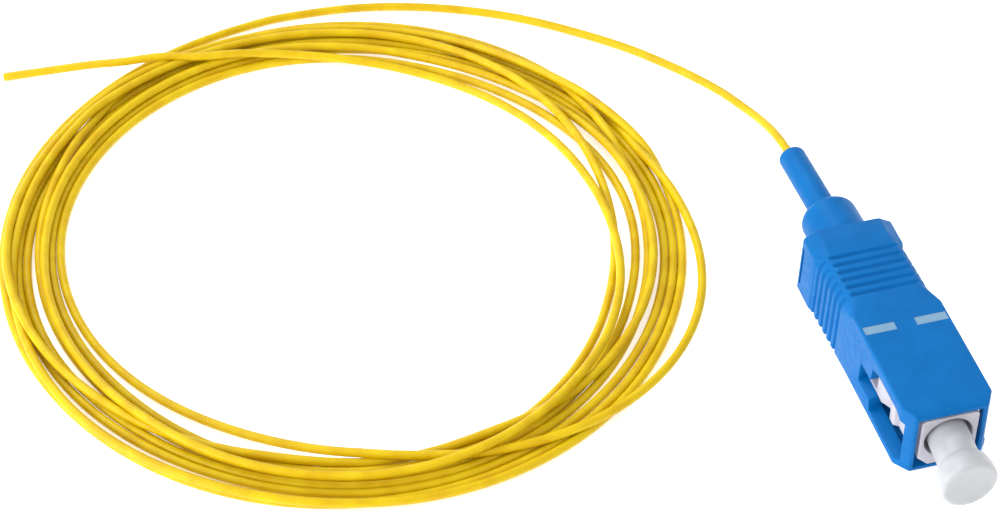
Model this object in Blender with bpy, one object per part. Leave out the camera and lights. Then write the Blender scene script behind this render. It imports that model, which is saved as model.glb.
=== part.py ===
"""Fibre optic pigtail: a push-pull connector on a coil of tight-buffered fibre.

The connector lies flat on the floor with its mating end towards -Y. All sizes
are in millimetres and become metres when a mesh is made. Y is measured from
the front face of the grip, and the empty called pigtail then moves everything
so that the connector's middle is at Y = 0.
"""
import math

import bmesh
import bpy
from mathutils import Vector

MM = 0.001

# The grip, the blue outer shell
GRIP_WIDTH = 9.0
GRIP_HEIGHT = 7.4
GRIP_LENGTH = 26.1
NOSE_TAPER_LENGTH = 1.45
NOSE_TAPER_DEPTH = 0.95
NOSE_TOP_BEVEL = 0.3
WALL_SIDE = 1.3
WALL_TOP = 0.72
WALL_UNDER_FOOT = 0.38
REAR_PAD_LENGTH = 3.6
REAR_PAD_OUT = 0.4
REAR_SHOULDER_ACROSS = 1.45
REAR_SHOULDER_DOWN = 0.95
EDGE_CHAMFER_ACROSS = 0.75
EDGE_CHAMFER_DOWN = 1.1
CHAMFER_RUN_IN = 2.2
BODY_EDGE = 0.06

# The grip's finger grooves, on all four faces
GROOVE_COUNT = 6
GROOVE_PITCH = 1.055
GROOVE_WIDTH = 0.42
GROOVE_DEPTH = 0.3
FIRST_GROOVE_BACK = 4.15
GROOVE_MARGIN = 0.8
SIDE_GROOVE_TOP = 6.2
RIB_ZONE_LEAD = 0.7

# The two pale bars on the wide face
BAR_LENGTH = 3.2
BAR_WIDTH = 1.05
BAR_GAP = 2.05
BAR_FROM_NOSE = 11.2
BAR_DEPTH = 0.12

# The latch window in each narrow face: an opening, and a slot behind it
WINDOW_FRONT = 0.9
WINDOW_NOSE_HEAD = 5.65
WINDOW_DIP_END = 2.4
WINDOW_SILL = 0.7
WINDOW_HEAD = 6.2
WINDOW_REAR = 8.4
SLOT_SILL_START = 8.1
SLOT_SILL = 1.85
SLOT_HEAD = 4.15
SLOT_REAR = 10.75

# Clearances, and how far a cutter runs past what it cuts
GAP = 0.3
GRIP_TRAVEL = 1.0
FERRULE_TRAVEL = 1.0
EASE = 0.05
CUT_REACH = 1.0
CUT_LAP = 0.2

# The white plug frame
FRAME_INSET = 0.05
FRAME_LENGTH = 15.4
FRAME_EDGE = 0.3
FRAME_FOOT_CHAMFER = 1.1
FRAME_FOOT_LENGTH = 11.4
MOUTH_RADIUS = 2.4
MOUTH_DEPTH = 6.4
WEB_THICKNESS = 1.2
SPRING_BORE_RADIUS = 2.0
EAR_ROOT = 0.4
EAR_OUT = 1.05
EAR_LOW = 2.5
EAR_HIGH = 5.1
EAR_NOTCH = 0.5
EAR_TOOTH_START = 3.6
EAR_TOOTH_END = 4.6
EAR_NOTCH_START = 5.5
EAR_NOTCH_END = 6.1
EAR_RAMP_END = 7.8

# The ferrule and its spring
FERRULE_RADIUS = 1.25
FERRULE_TIP = 0.3
FERRULE_TIP_EDGE = 0.2
FIBRE_FUNNEL_LENGTH = 0.6
GLASS_BORE_RADIUS = 0.125
FLANGE_RADIUS = 1.7
FLANGE_LENGTH = 2.0
FERRULE_TAIL_RADIUS = 0.75
FERRULE_TAIL_LENGTH = 4.0
FIBRE_BORE_RADIUS = 0.5
SPRING_WIRE_RADIUS = 0.18
SPRING_LENGTH = 4.0
SPRING_TURNS = 5
SPRING_MEAN_RADIUS = 1.35

# The rear body inside the grip
REAR_FLANGE_RADIUS = 2.65
REAR_FLANGE_LENGTH = 2.4
REAR_WAIST_RADIUS = 2.2
REAR_WAIST_CHAMFER = 0.4
REAR_SPIGOT_RADIUS = 1.9
REAR_SPIGOT_LENGTH = 3.0
REAR_BODY_LENGTH = 10.4
REAR_BORE_FREE_RADIUS = 0.7
TAIL_ROOM_RADIUS = 1.2
TAIL_ROOM_SPARE = 1.5

# The boot
BOOT_SKIRT_RADIUS = 2.9
BOOT_SHOULDER = 4.56
BOOT_DOME = 1.2
BOOT_TUBE_LENGTH = 9.05
BOOT_TUBE_RADIUS = 1.42
BOOT_TIP_RADIUS = 1.41
BOOT_TIP_ROUND = 0.4
BOOT_BORE_RADIUS = 0.6

# The dust cap
CAP_TUBE_RADIUS = 2.0
CAP_WALL = 0.45
CAP_INSERTION = 4.6
CAP_NECK = 3.4
CAP_HEAD_RADIUS = 2.8
CAP_FLARE_LENGTH = 2.4
CAP_RIM_ROUND = 0.3
CAP_CENTRE_RADIUS = 0.25
CAP_BORE_PAST_FRONT = 3.4

# The fibre and its coil on the floor
FIBRE_DIAMETER = 0.9
COIL_CENTRE = (-47.6, 43.6)
COIL_OUTER_RADIUS = 36.5
COIL_INNER_RADIUS = 26.0
COIL_HEIGHT = 2.8
COIL_EDGE_ROUND = 1.0
LEAD_ROUTE = [
    (-0.7, 45.0, 3.15),
    (-1.0, 48.6, 2.2),
    (-1.5, 51.9, 1.2),
    (-3.2, 56.6, 0.55),
    (-6.7, 61.6, 0.5),
    (-11.8, 67.2, 0.5),
    (-20.2, 73.9, 0.5),
    (-28.6, 78.2, 0.5),
    (-37.0, 80.6, 0.5),
    (-45.4, 81.2, 0.5),
    (-49.7, 80.75, 0.5),
]
TAIL_ROUTE = [
    (-64.4, 76.7, 1.9),
    (-67.4, 77.6, 1.5),
    (-72.0, 78.6, 0.9),
    (-77.0, 79.3, 0.52),
]
ROUTE_STEP = 2.6

# Facets
ROUND_SIDES = 32
COIL_SIDES = 72

# Places that follow from the sizes
AXIS_Z = GRIP_HEIGHT / 2
HALF_WIDTH = GRIP_WIDTH / 2
CAVITY_HALF_X = HALF_WIDTH - WALL_SIDE
CAVITY_HALF_Z = AXIS_Z - WALL_TOP
PAD_START = GRIP_LENGTH - REAR_PAD_LENGTH
REAR_BORE_START = GRIP_LENGTH - REAR_PAD_LENGTH - GAP
REAR_BORE_RADIUS = BOOT_SKIRT_RADIUS + GAP
FRAME_HALF_X = CAVITY_HALF_X - GAP - EASE
FRAME_HALF_Z = CAVITY_HALF_Z - GAP
FRAME_END = FRAME_INSET + FRAME_LENGTH
FOOT_BOTTOM = WALL_UNDER_FOOT + GAP
WEB_FRONT = FRAME_INSET + MOUTH_DEPTH
WEB_BACK = WEB_FRONT + WEB_THICKNESS
FLANGE_FRONT = WEB_BACK + GAP
FLANGE_BACK = FLANGE_FRONT + FLANGE_LENGTH
FERRULE_END = FLANGE_BACK + FERRULE_TAIL_LENGTH
SPRING_START = FLANGE_BACK + GAP + SPRING_WIRE_RADIUS
REAR_BODY_START = FRAME_END + GAP
REAR_BODY_END = REAR_BODY_START + REAR_BODY_LENGTH
BOOT_START = REAR_BORE_START + GRIP_TRAVEL + GAP
BOOT_SOCKET_END = REAR_BODY_END + GAP
BOOT_DOME_START = GRIP_LENGTH + BOOT_SHOULDER
BOOT_DOME_END = BOOT_DOME_START + BOOT_DOME
BOOT_TIP = BOOT_DOME_END + BOOT_TUBE_LENGTH
CAP_TIP = -(CAP_NECK + CAP_FLARE_LENGTH + CAP_RIM_ROUND)
FIRST_GROOVE = GRIP_LENGTH - FIRST_GROOVE_BACK
RIB_ZONE_START = FIRST_GROOVE - (GROOVE_COUNT - 1) * GROOVE_PITCH - RIB_ZONE_LEAD
MIDDLE_Y = (BOOT_TIP + CAP_TIP) / 2


def clear_scene():
    for item in list(bpy.data.objects):
        bpy.data.objects.remove(item, do_unlink=True)


def make_material(name, colour, roughness, metallic=0.0):
    material = bpy.data.materials.new(name)
    material.use_nodes = True
    shader = material.node_tree.nodes["Principled BSDF"]
    shader.inputs["Base Color"].default_value = (*colour, 1.0)
    shader.inputs["Roughness"].default_value = roughness
    shader.inputs["Metallic"].default_value = metallic
    return material


def make_object(name, bm, material, parent, location=(0, 0, 0), smooth=True):
    """Turn a bmesh in millimetres into a named object in metres."""
    bmesh.ops.recalc_face_normals(bm, faces=bm.faces)
    bmesh.ops.scale(bm, vec=(MM, MM, MM), verts=bm.verts)
    mesh = bpy.data.meshes.new(name)
    bm.to_mesh(mesh)
    bm.free()
    if smooth:
        mesh.shade_smooth()
        mesh.set_sharp_from_angle(angle=math.radians(35))
    if material:
        mesh.materials.append(material)
    item = bpy.data.objects.new(name, mesh)
    bpy.context.scene.collection.objects.link(item)
    item.parent = parent
    item.location = Vector(location) * MM
    return item


def add_rings(bm, rings, closed_path):
    """Skin a row of equal rings, and cap both ends of an open row."""
    loops = [[bm.verts.new(point) for point in ring] for ring in rings]
    count = len(loops[0])
    pairs = list(zip(loops, loops[1:]))
    if closed_path:
        pairs.append((loops[-1], loops[0]))
    for near, far in pairs:
        for i in range(count):
            j = (i + 1) % count
            bm.faces.new((near[i], near[j], far[j], far[i]))
    if not closed_path:
        bm.faces.new(list(reversed(loops[0])))
        bm.faces.new(loops[-1])


def add_prism(bm, outline, axis, low, high):
    """Extrude a flat outline along X, Y or Z, between low and high."""
    def place(point, depth):
        coordinates = list(point)
        coordinates.insert(axis, depth)
        return coordinates

    rings = [[place(point, depth) for point in outline] for depth in (low, high)]
    add_rings(bm, rings, closed_path=False)


def add_box(bm, low, high):
    outline = [(low[0], low[1]), (high[0], low[1]), (high[0], high[1]), (low[0], high[1])]
    add_prism(bm, outline, 2, low[2], high[2])


def turned_rings(profile, sides):
    """Rings about the Y axis for a profile of (y, radius) points."""
    rings = []
    for y, radius in profile:
        ring = []
        for i in range(sides):
            angle = 2 * math.pi * i / sides
            ring.append((radius * math.cos(angle), y, radius * math.sin(angle)))
        rings.append(ring)
    return rings


def turned(name, profile, material, parent, closed_path=True, sides=ROUND_SIDES):
    """A solid turned about the connector's axis, with its origin on it."""
    bm = bmesh.new()
    add_rings(bm, turned_rings(profile, sides), closed_path)
    return make_object(name, bm, material, parent, (0, 0, AXIS_Z))


def arc(centre, radius, start, end, steps):
    """Points from angle start to angle end, in degrees, with both ends."""
    points = []
    for i in range(steps + 1):
        angle = math.radians(start + (end - start) * i / steps)
        points.append((centre[0] + radius * math.cos(angle),
                       centre[1] + radius * math.sin(angle)))
    return points


def cut(target, cutter):
    """Subtract one hidden wire object from a solid."""
    cutter.hide_render = True
    cutter.display_type = "WIRE"
    modifier = target.modifiers.new(cutter.name, "BOOLEAN")
    modifier.operation = "DIFFERENCE"
    modifier.solver = "EXACT"
    modifier.object = cutter


def join(target, piece):
    """Add one hidden wire object to a solid."""
    piece.hide_render = True
    piece.display_type = "WIRE"
    modifier = target.modifiers.new(piece.name, "BOOLEAN")
    modifier.operation = "UNION"
    modifier.solver = "EXACT"
    modifier.object = piece


def grip_section(y, half_width, inset_z, chamfer_x, chamfer_z):
    """One eight-sided ring across the grip, with chamfers along its two upper edges."""
    foot = BODY_EDGE
    high = GRIP_HEIGHT - inset_z
    return [
        (-half_width + foot, y, 0),
        (half_width - foot, y, 0),
        (half_width, y, foot),
        (half_width, y, high - chamfer_z),
        (half_width - chamfer_x, y, high),
        (-half_width + chamfer_x, y, high),
        (-half_width, y, high - chamfer_z),
        (-half_width, y, foot),
    ]


def grip_outer(bm):
    nose = HALF_WIDTH - NOSE_TAPER_DEPTH
    nose_beveled = nose + NOSE_TAPER_DEPTH * NOSE_TOP_BEVEL / NOSE_TAPER_LENGTH
    padded = HALF_WIDTH + REAR_PAD_OUT
    edge = BODY_EDGE
    rings = [
        grip_section(0, nose, NOSE_TOP_BEVEL, edge, edge),
        grip_section(NOSE_TOP_BEVEL, nose_beveled, 0, edge, edge),
        grip_section(NOSE_TAPER_LENGTH, HALF_WIDTH, 0, edge, edge),
        grip_section(RIB_ZONE_START - CHAMFER_RUN_IN, HALF_WIDTH, 0, edge, edge),
        grip_section(RIB_ZONE_START, HALF_WIDTH, 0, EDGE_CHAMFER_ACROSS, EDGE_CHAMFER_DOWN),
        grip_section(PAD_START, HALF_WIDTH, 0, EDGE_CHAMFER_ACROSS, EDGE_CHAMFER_DOWN),
        grip_section(PAD_START + REAR_PAD_OUT, padded, 0, REAR_SHOULDER_ACROSS, REAR_SHOULDER_DOWN),
        grip_section(GRIP_LENGTH, padded, 0, REAR_SHOULDER_ACROSS, REAR_SHOULDER_DOWN),
    ]
    add_rings(bm, rings, closed_path=False)


def groove_centres():
    return [FIRST_GROOVE - i * GROOVE_PITCH for i in range(GROOVE_COUNT)]


def add_grooves(bm):
    """Grooves across the wide faces, and up the narrow faces from the floor edge."""
    across = HALF_WIDTH - GROOVE_MARGIN
    for y in groove_centres():
        front = y - GROOVE_WIDTH / 2
        back = y + GROOVE_WIDTH / 2
        add_box(bm, (-across, front, GRIP_HEIGHT - GROOVE_DEPTH), (across, back, GRIP_HEIGHT + CUT_REACH))
        add_box(bm, (-across, front, -CUT_REACH), (across, back, GROOVE_DEPTH))
        for side in (-1, 1):
            inner = side * (HALF_WIDTH - GROOVE_DEPTH)
            outer = side * (HALF_WIDTH + CUT_REACH)
            add_box(bm, (min(inner, outer), front, -CUT_REACH), (max(inner, outer), back, SIDE_GROOVE_TOP))


def add_bars(bm):
    for side in (-1, 1):
        near = side * BAR_GAP / 2
        far = side * (BAR_GAP / 2 + BAR_LENGTH)
        add_box(bm, (min(near, far), BAR_FROM_NOSE, GRIP_HEIGHT - BAR_DEPTH),
                (max(near, far), BAR_FROM_NOSE + BAR_WIDTH, GRIP_HEIGHT + CUT_REACH))


def window_outline():
    """The latch window and the slot behind it, as (y, z) points."""
    return [
        (WINDOW_FRONT, WINDOW_SILL),
        (SLOT_SILL_START, WINDOW_SILL),
        (SLOT_SILL_START, SLOT_SILL),
        (SLOT_REAR, SLOT_SILL),
        (SLOT_REAR, SLOT_HEAD),
        (WINDOW_REAR, SLOT_HEAD),
        (WINDOW_REAR, WINDOW_HEAD),
        (WINDOW_DIP_END, WINDOW_HEAD),
        (WINDOW_FRONT, WINDOW_NOSE_HEAD),
    ]


def make_grip(material, parent):
    bm = bmesh.new()
    grip_outer(bm)
    grip = make_object("grip_housing", bm, material, parent, smooth=False)

    cavity = bmesh.new()
    add_box(cavity, (-CAVITY_HALF_X, -CUT_REACH, AXIS_Z - CAVITY_HALF_Z),
            (CAVITY_HALF_X, REAR_BORE_START, AXIS_Z + CAVITY_HALF_Z))
    cut(grip, make_object("cut_cavity", cavity, None, parent, smooth=False))

    recess = bmesh.new()
    add_box(recess, (-CAVITY_HALF_X, -CUT_REACH, WALL_UNDER_FOOT),
            (CAVITY_HALF_X, FRAME_INSET + FRAME_FOOT_LENGTH + GAP, AXIS_Z))
    cut(grip, make_object("cut_foot_recess", recess, None, parent, smooth=False))

    bore = bmesh.new()
    profile = [(REAR_BORE_START - CUT_LAP, REAR_BORE_RADIUS), (GRIP_LENGTH + CUT_REACH, REAR_BORE_RADIUS)]
    add_rings(bore, turned_rings(profile, ROUND_SIDES), closed_path=False)
    cut(grip, make_object("cut_rear_bore", bore, None, parent, (0, 0, AXIS_Z), smooth=False))

    windows = bmesh.new()
    add_prism(windows, window_outline(), 0, -HALF_WIDTH - CUT_REACH, -CAVITY_HALF_X + CUT_LAP)
    add_prism(windows, window_outline(), 0, CAVITY_HALF_X - CUT_LAP, HALF_WIDTH + CUT_REACH)
    cut(grip, make_object("cut_windows", windows, None, parent, smooth=False))

    grooves = bmesh.new()
    add_grooves(grooves)
    add_bars(grooves)
    cut(grip, make_object("cut_grooves", grooves, None, parent, smooth=False))
    return grip


def frame_outline(low):
    """The frame's front view as (x, z) points, with its feet chamfered."""
    x = FRAME_HALF_X
    high = AXIS_Z + FRAME_HALF_Z
    foot = FRAME_FOOT_CHAMFER
    edge = FRAME_EDGE
    return [
        (-x + foot, low), (x - foot, low), (x, low + foot), (x, high - edge),
        (x - edge, high), (-x + edge, high), (-x, high - edge), (-x, low + foot),
    ]


def ear_outline(side, in_slot):
    """One latch ear seen from above, as (x, y) points: all of it, or only what fits the window."""
    root = FRAME_HALF_X - EAR_ROOT
    out = FRAME_HALF_X + EAR_OUT
    front = WINDOW_FRONT + GRIP_TRAVEL + GAP
    rear = (SLOT_REAR if in_slot else WINDOW_REAR) - GAP - EASE
    points = [
        (root, front), (out - EAR_NOTCH, front), (out - EAR_NOTCH, EAR_TOOTH_START),
        (out, EAR_TOOTH_START + GAP), (out, EAR_TOOTH_END),
        (out - EAR_NOTCH, EAR_NOTCH_START), (out - EAR_NOTCH, EAR_NOTCH_END),
        (out, EAR_RAMP_END), (out, rear), (root, rear),
    ]
    return [(side * x, y) for x, y in points]


def make_frame(material, parent):
    bm = bmesh.new()
    add_prism(bm, frame_outline(AXIS_Z - FRAME_HALF_Z), 1, FRAME_INSET, FRAME_END)
    frame = make_object("plug_frame", bm, material, parent, smooth=False)

    foot = bmesh.new()
    add_prism(foot, frame_outline(FOOT_BOTTOM), 1, FRAME_INSET, FRAME_INSET + FRAME_FOOT_LENGTH)
    join(frame, make_object("add_foot", foot, None, parent, smooth=False))

    ears = bmesh.new()
    tails = bmesh.new()
    for side in (-1, 1):
        add_prism(ears, ear_outline(side, False), 2, EAR_LOW, EAR_HIGH)
        add_prism(tails, ear_outline(side, True), 2, EAR_LOW, SLOT_HEAD - GAP)
    join(frame, make_object("add_ears", ears, None, parent, smooth=False))
    join(frame, make_object("add_ear_tails", tails, None, parent, smooth=False))

    bores = bmesh.new()
    profile = [
        (-CUT_REACH, MOUTH_RADIUS), (WEB_FRONT, MOUTH_RADIUS),
        (WEB_FRONT, FERRULE_RADIUS + GAP), (WEB_BACK, FERRULE_RADIUS + GAP),
        (WEB_BACK, SPRING_BORE_RADIUS), (FRAME_END + CUT_REACH, SPRING_BORE_RADIUS),
    ]
    add_rings(bores, turned_rings(profile, ROUND_SIDES), closed_path=False)
    cut(frame, make_object("cut_frame_bores", bores, None, parent, (0, 0, AXIS_Z), smooth=False))
    return frame


def make_ferrule(ceramic, steel, parent):
    profile = [
        (FERRULE_TIP, GLASS_BORE_RADIUS),
        (FERRULE_TIP, FERRULE_RADIUS - FERRULE_TIP_EDGE),
        (FERRULE_TIP + FERRULE_TIP_EDGE, FERRULE_RADIUS),
        (FLANGE_FRONT, FERRULE_RADIUS),
        (FLANGE_FRONT, FLANGE_RADIUS),
        (FLANGE_BACK, FLANGE_RADIUS),
        (FLANGE_BACK, FERRULE_TAIL_RADIUS),
        (FERRULE_END, FERRULE_TAIL_RADIUS),
        (FERRULE_END, FIBRE_BORE_RADIUS),
        (FLANGE_FRONT, FIBRE_BORE_RADIUS),
        (FLANGE_FRONT - FIBRE_FUNNEL_LENGTH, GLASS_BORE_RADIUS),
    ]
    ferrule = turned("ferrule", profile, ceramic, parent)
    spring = make_spring(steel, parent)
    return ferrule, spring


def make_spring(material, parent):
    """A wire coil with flat-cut ends, run round the axis by a loop."""
    steps_per_turn = 14
    wire_sides = 6
    steps = SPRING_TURNS * steps_per_turn
    rise = (SPRING_LENGTH - 2 * SPRING_WIRE_RADIUS) / steps
    rings = []
    for i in range(steps + 1):
        turn = 2 * math.pi * i / steps_per_turn
        outward = Vector((math.cos(turn), 0, math.sin(turn)))
        centre = outward * SPRING_MEAN_RADIUS + Vector((0, SPRING_START + rise * i, 0))
        ring = []
        for k in range(wire_sides):
            angle = 2 * math.pi * k / wire_sides
            offset = outward * math.cos(angle) + Vector((0, math.sin(angle), 0))
            ring.append(centre + offset * SPRING_WIRE_RADIUS)
        rings.append(ring)
    bm = bmesh.new()
    add_rings(bm, rings, closed_path=False)
    return make_object("ferrule_spring", bm, material, parent, (0, 0, AXIS_Z))


def make_rear_body(material, parent):
    flange_end = REAR_BODY_START + REAR_FLANGE_LENGTH
    spigot_start = REAR_BODY_END - REAR_SPIGOT_LENGTH
    room_end = REAR_BODY_START + FERRULE_TRAVEL + TAIL_ROOM_SPARE
    profile = [
        (REAR_BODY_START, TAIL_ROOM_RADIUS),
        (REAR_BODY_START, REAR_FLANGE_RADIUS),
        (flange_end, REAR_FLANGE_RADIUS),
        (flange_end + REAR_WAIST_CHAMFER, REAR_WAIST_RADIUS),
        (spigot_start, REAR_WAIST_RADIUS),
        (spigot_start, REAR_SPIGOT_RADIUS),
        (REAR_BODY_END, REAR_SPIGOT_RADIUS),
        (REAR_BODY_END, REAR_BORE_FREE_RADIUS),
        (room_end, REAR_BORE_FREE_RADIUS),
        (room_end, TAIL_ROOM_RADIUS),
    ]
    return turned("rear_body", profile, material, parent)


def make_boot(material, parent):
    """A skirt round the rear body, a domed shoulder and a slim sleeve."""
    socket = REAR_SPIGOT_RADIUS + GAP
    bore = BOOT_BORE_RADIUS
    dome_rise = BOOT_SKIRT_RADIUS - BOOT_TUBE_RADIUS
    dome = []
    for i in range(1, 6):
        turn = math.radians(90 * i / 6)
        dome.append((BOOT_DOME_START + BOOT_DOME * math.sin(turn),
                     BOOT_TUBE_RADIUS + dome_rise * math.cos(turn)))
    tip = arc((BOOT_TIP - BOOT_TIP_ROUND, BOOT_TIP_RADIUS - BOOT_TIP_ROUND), BOOT_TIP_ROUND, 90, 0, 4)
    profile = [(BOOT_START, socket), (BOOT_START, BOOT_SKIRT_RADIUS), (BOOT_DOME_START, BOOT_SKIRT_RADIUS)]
    profile += dome
    profile += [(BOOT_DOME_END, BOOT_TUBE_RADIUS)]
    profile += tip
    profile += [(BOOT_TIP, bore), (BOOT_SOCKET_END, bore), (BOOT_SOCKET_END, socket)]
    return turned("boot", profile, material, parent)


def make_cap(material, parent):
    """A blind tube over the ferrule, with a swollen head and a blunt end."""
    bore = CAP_TUBE_RADIUS - CAP_WALL
    head_start = -CAP_NECK
    flare = CAP_HEAD_RADIUS - CAP_TUBE_RADIUS
    profile = [(CAP_INSERTION, bore), (CAP_INSERTION, CAP_TUBE_RADIUS), (head_start, CAP_TUBE_RADIUS)]
    for i in range(1, 6):
        turn = math.radians(90 * i / 6)
        profile.append((head_start - CAP_FLARE_LENGTH * (1 - math.cos(turn)),
                        CAP_TUBE_RADIUS + flare * math.sin(turn)))
    profile += arc((CAP_TIP + CAP_RIM_ROUND, CAP_HEAD_RADIUS - CAP_RIM_ROUND), CAP_RIM_ROUND, 90, 180, 5)
    profile.append((CAP_TIP, CAP_CENTRE_RADIUS))

    bm = bmesh.new()
    add_rings(bm, turned_rings(profile[1:], ROUND_SIDES), closed_path=False)
    cap = make_object("dust_cap", bm, material, parent, (0, 0, AXIS_Z))
    hollow = bmesh.new()
    hollow_profile = [(CAP_INSERTION + CUT_REACH, bore), (-CAP_BORE_PAST_FRONT, bore)]
    add_rings(hollow, turned_rings(hollow_profile, ROUND_SIDES), closed_path=False)
    cut(cap, make_object("cut_cap_bore", hollow, None, parent, (0, 0, AXIS_Z), smooth=False))
    return cap


def smooth_route(points, step):
    """Evenly spaced points on a Catmull-Rom curve through the route's points."""
    path = [Vector(point) for point in points]
    guide = [path[0] * 2 - path[1]] + path + [path[-1] * 2 - path[-2]]
    fine = []
    for i in range(1, len(guide) - 2):
        a, b, c, d = guide[i - 1:i + 3]
        for k in range(24):
            t = k / 24
            fine.append(0.5 * (2 * b + (c - a) * t + (2 * a - 5 * b + 4 * c - d) * t * t
                               + (3 * b - a - 3 * c + d) * t * t * t))
    fine.append(path[-1])
    lengths = [0.0]
    for start, end in zip(fine, fine[1:]):
        lengths.append(lengths[-1] + (end - start).length)
    count = round(lengths[-1] / step)
    spaced = []
    at = 0
    for i in range(count + 1):
        wanted = lengths[-1] * i / count
        while at < len(fine) - 2 and lengths[at + 1] < wanted:
            at += 1
        part = (wanted - lengths[at]) / (lengths[at + 1] - lengths[at])
        spaced.append(fine[at].lerp(fine[at + 1], min(part, 1.0)))
    return spaced


def make_fibre_run(name, route, material, parent):
    curve = bpy.data.curves.new(name, "CURVE")
    curve.dimensions = "3D"
    curve.bevel_depth = FIBRE_DIAMETER / 2 * MM
    curve.bevel_resolution = 2
    curve.use_fill_caps = True
    points = smooth_route(route, ROUTE_STEP)
    spline = curve.splines.new("POLY")
    spline.points.add(len(points) - 1)
    for slot, point in zip(spline.points, points):
        slot.co = (*(point * MM), 1.0)
    curve.materials.append(material)
    item = bpy.data.objects.new(name, curve)
    bpy.context.scene.collection.objects.link(item)
    item.parent = parent
    return item


def make_coil(material, parent):
    """The outer shape of all the turns: one low ring with rounded edges."""
    r = COIL_EDGE_ROUND
    inner = COIL_INNER_RADIUS
    outer = COIL_OUTER_RADIUS
    section = arc((outer - r, r), r, -90, 0, 3) + arc((outer - r, COIL_HEIGHT - r), r, 0, 90, 3)
    section += arc((inner + r, COIL_HEIGHT - r), r, 90, 180, 3) + arc((inner + r, r), r, 180, 270, 3)
    rings = []
    for i in range(COIL_SIDES):
        angle = 2 * math.pi * i / COIL_SIDES
        rings.append([(radius * math.cos(angle), radius * math.sin(angle), z) for radius, z in section])
    bm = bmesh.new()
    add_rings(bm, rings, closed_path=True)
    return make_object("fibre_coil", bm, material, parent, (*COIL_CENTRE, 0))


def build():
    clear_scene()
    blue = make_material("blue_plastic", (0.012, 0.17, 0.56), 0.38)
    white = make_material("frame_plastic", (0.78, 0.78, 0.80), 0.35)
    frosted = make_material("cap_plastic", (0.66, 0.67, 0.68), 0.45)
    ceramic = make_material("ferrule_ceramic", (0.86, 0.85, 0.82), 0.15)
    steel = make_material("spring_steel", (0.55, 0.55, 0.56), 0.3, 1.0)
    yellow = make_material("fibre_jacket", (0.92, 0.66, 0.012), 0.42)

    pigtail = bpy.data.objects.new("pigtail", None)
    bpy.context.scene.collection.objects.link(pigtail)
    pigtail.location = (0, -MIDDLE_Y * MM, 0)

    make_grip(blue, pigtail)
    make_frame(white, pigtail)
    make_ferrule(ceramic, steel, pigtail)
    make_rear_body(white, pigtail)
    make_boot(blue, pigtail)
    make_cap(frosted, pigtail)
    boot_face = (0, BOOT_TIP + GAP, AXIS_Z)
    make_fibre_run("fibre_lead", [boot_face] + LEAD_ROUTE, yellow, pigtail)
    make_coil(yellow, pigtail)
    make_fibre_run("fibre_tail", TAIL_ROUTE, yellow, pigtail)


build()
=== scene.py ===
# %% [markdown]
# # A fibre optic pigtail
# The object is a blue push-pull connector, 9 mm wide, on a loose coil of thin
# yellow fibre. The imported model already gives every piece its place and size,
# so this script loads it as a fixed frame and dresses it: finer shapes for
# what shows, and a finish for every surface.

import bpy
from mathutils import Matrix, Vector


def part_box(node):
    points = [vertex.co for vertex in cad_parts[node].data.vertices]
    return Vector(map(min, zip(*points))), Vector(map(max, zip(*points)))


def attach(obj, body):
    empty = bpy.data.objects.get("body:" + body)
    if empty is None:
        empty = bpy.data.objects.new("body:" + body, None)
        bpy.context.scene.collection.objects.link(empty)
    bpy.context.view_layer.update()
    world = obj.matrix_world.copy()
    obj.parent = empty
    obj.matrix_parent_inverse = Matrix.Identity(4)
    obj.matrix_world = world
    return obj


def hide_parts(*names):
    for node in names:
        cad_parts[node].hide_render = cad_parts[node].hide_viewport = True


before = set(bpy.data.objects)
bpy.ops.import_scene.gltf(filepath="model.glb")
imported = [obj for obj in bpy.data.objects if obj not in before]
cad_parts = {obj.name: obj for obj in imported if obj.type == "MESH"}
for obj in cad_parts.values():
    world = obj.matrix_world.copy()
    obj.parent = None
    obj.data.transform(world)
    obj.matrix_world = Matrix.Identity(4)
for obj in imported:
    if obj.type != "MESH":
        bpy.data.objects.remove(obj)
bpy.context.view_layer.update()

# %% [markdown]
# ## Tools
# The lesson needs Blender's own modules and little else: bpy holds the scene,
# bmesh edits a mesh point by point, mathutils has vectors and matrices, and
# numpy does the arithmetic on many points at once.

# %% Tools used below
import math

import bmesh
import bpy
import numpy as np
from mathutils import Matrix, Vector

# %% [markdown]
# ## Where things are
# Blender works in metres, but a small connector is easier to think about in
# millimetres. The sizes below are typed in millimetres times MM. Lengths along
# the connector count from the front face of its grip, as a maker would draw
# it, and that face's place is read from the frame.

# %% Millimetres, and the connector's front and axis
MM = 0.001
GRIP_LOW, GRIP_HIGH = (Vector(corner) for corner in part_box("grip_housing"))
FRONT = GRIP_LOW.y
HEIGHT = GRIP_HIGH.z - GRIP_LOW.z
AXIS_HEIGHT = GRIP_LOW.z + HEIGHT / 2


def from_front(x, y, z):
    """A point of the frame, with y counted from the grip's front face."""
    return Vector((x, FRONT + y, z))


print("front face at y = %.5f, axis %.5f above the floor" % (FRONT, AXIS_HEIGHT))

# %% [markdown]
# ## The camera
# The camera comes first. The known sizes of the connector's corners gave its angle: it looks down at 44
# degrees, from a little to the left, with a long lens that keeps parallel edges almost parallel.

# %% Camera
VIEW_AZIMUTH = math.radians(-15.64)
VIEW_ELEVATION = math.radians(43.92)
VIEW_DISTANCE = 0.2713
VIEW_TARGET = from_front(-0.03254, 0.03824, 0)
LENS = 96.4
CLOSEST_SEEN = 0.01


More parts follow.
